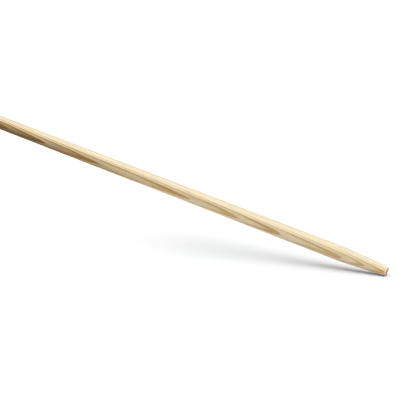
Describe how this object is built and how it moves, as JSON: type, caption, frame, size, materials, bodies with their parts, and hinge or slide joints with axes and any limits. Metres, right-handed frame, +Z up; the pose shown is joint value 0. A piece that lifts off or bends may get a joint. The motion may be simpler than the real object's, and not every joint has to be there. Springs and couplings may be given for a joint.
{
  "type": "roller extension pole",
  "caption": "Plain round softwood pole with a long tapered push-fit tip and a domed butt, for lengthening the reach of a paint roller or a brush.",
  "frame": {"origin": "centre of the flat face at the pole's tapered tip", "axes": "+X along the pole's axis from the tapered tip to the domed butt, +Z up, with the pole lying level"},
  "size_m": [1.2, 0.025, 0.025],
  "materials": {
    "softwood": "turned and sanded bare pine, satin"
  },
  "bodies": {
    "root": {"pole": "softwood"}
  },
  "joints": []
}
